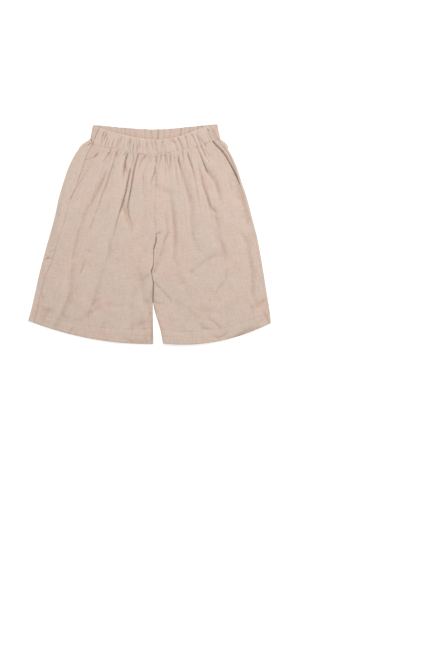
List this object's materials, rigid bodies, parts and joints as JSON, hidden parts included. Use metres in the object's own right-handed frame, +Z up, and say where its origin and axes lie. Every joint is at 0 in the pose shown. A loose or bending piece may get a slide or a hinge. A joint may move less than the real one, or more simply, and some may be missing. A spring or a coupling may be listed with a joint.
{
  "type": "pull-on hemp shorts laid flat",
  "caption": "Wide-leg pull-on shorts in plain hemp cloth, with a gathered elastic waist and slanted side pockets, lying flat on their back.",
  "frame": {"origin": "under the centre of the whole garment's box, on the surface it lies on", "axes": "+X to the wearer's left, +Y from the hems to the waist, +Z up out of the front"},
  "size_m": [0.68, 0.6162, 0.0163],
  "materials": {
    "hemp_cloth": "matt woven hemp, pale pinkish sand",
    "hemp_inside": "matt woven hemp, wrong side and facings",
    "hemp_thread": "matt sewing thread in the cloth's colour"
  },
  "bodies": {
    "root": {"front_right_leg": "hemp_cloth", "front_left_leg": "hemp_cloth", "back_right_leg": "hemp_cloth", "back_left_leg": "hemp_cloth", "pocket_facing_right": "hemp_inside", "pocket_facing_left": "hemp_inside", "waistband_front": "hemp_cloth", "waistband_back": "hemp_inside"}
  },
  "joints": []
}
